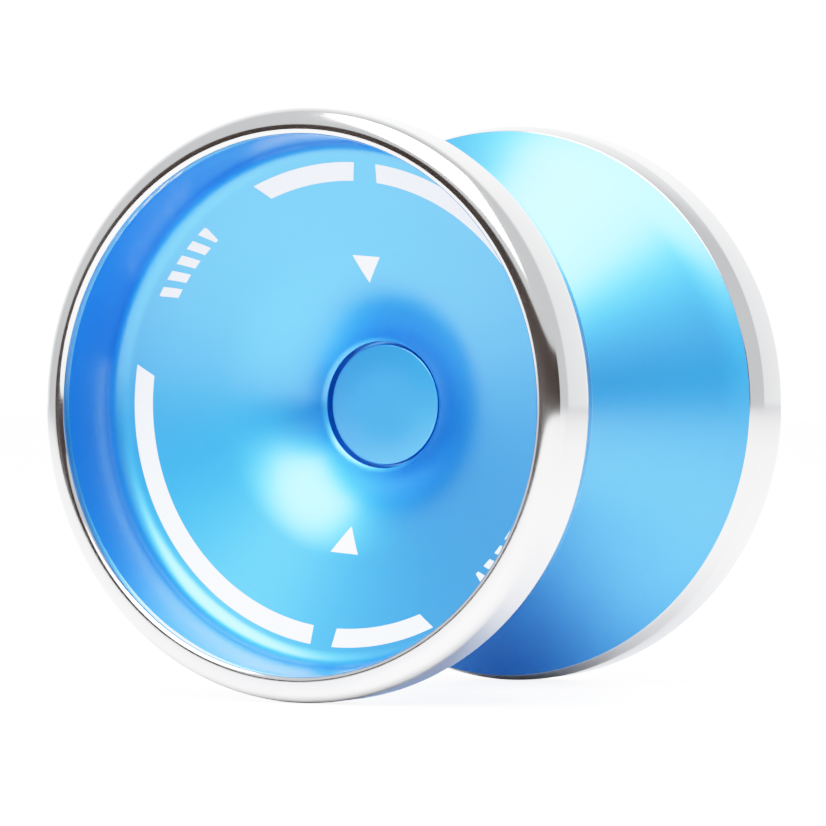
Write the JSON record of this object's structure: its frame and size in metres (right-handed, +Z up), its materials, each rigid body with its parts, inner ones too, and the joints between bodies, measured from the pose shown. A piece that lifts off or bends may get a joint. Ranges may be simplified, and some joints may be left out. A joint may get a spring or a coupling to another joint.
{
  "type": "yo-yo",
  "caption": "Wide V-shaped metal yo-yo: two blue anodised cups with polished steel rim rings, unscrewing on a threaded axle, with a shielded ball bearing.",
  "frame": {"origin": "centre of the yo-yo, on the spin axis halfway between the two cups", "axes": "+Y along the spin axis towards the back cup, +Z up, the front cup faces -Y"},
  "size_m": [0.056, 0.0506, 0.056],
  "materials": {
    "cup": "bead-blasted, light blue anodised",
    "hub_disc": "bead-blasted, light blue anodised",
    "rim": "polished stainless steel",
    "pad": "matt white silicone",
    "axle": "plain machined steel",
    "bearing_steel": "ground bearing steel",
    "ball": "polished bearing steel",
    "cage": "pressed steel",
    "shield": "pressed stainless steel"
  },
  "bodies": {
    "bearing_outer": {"bearing_outer_race": "bearing_steel", "front_bearing_shield": "shield", "back_bearing_shield": "shield", "front_snap_ring": "shield", "back_snap_ring": "shield"},
    "front_half": {"front_cup": "cup", "front_rim_ring": "rim", "front_hub_disc": "hub_disc", "front_response_pad": "pad", "axle": "axle"},
    "ball_train": {"bearing_cage": "cage", "bearing_ball_01": "ball", "bearing_ball_02": "ball", "bearing_ball_03": "ball", "bearing_ball_04": "ball", "bearing_ball_05": "ball", "bearing_ball_06": "ball", "bearing_ball_07": "ball", "bearing_ball_08": "ball", "bearing_ball_09": "ball", "bearing_ball_10": "ball"},
    "inner_race": {"bearing_inner_race": "bearing_steel"},
    "back_half": {"back_cup": "cup", "back_rim_ring": "rim", "back_hub_disc": "hub_disc", "back_response_pad": "pad"}
  },
  "joints": [
    {"name": "spin", "type": "hinge", "parent": "bearing_outer", "child": "front_half", "pos_m": [0, 0, 0], "axis": [0, 1, 0], "continuous": true},
    {"name": "ball_orbit", "type": "hinge", "parent": "bearing_outer", "child": "ball_train", "pos_m": [0, 0, 0], "axis": [0, 1, 0], "continuous": true},
    {"name": "half_unscrew", "type": "hinge", "parent": "front_half", "child": "inner_race", "pos_m": [0, 0, 0], "axis": [0, 1, 0], "range_deg": [0, 2880]},
    {"name": "half_back_off", "type": "slide", "parent": "inner_race", "child": "back_half", "axis": [0, 1, 0], "range_m": [0, 0.0056]}
  ],
  "couplings": [
    {"joint": "ball_orbit", "follows": "spin", "ratio": 0.41667},
    {"joint": "half_back_off", "follows": "half_unscrew", "m_per_rad": 0.00011141}
  ]
}
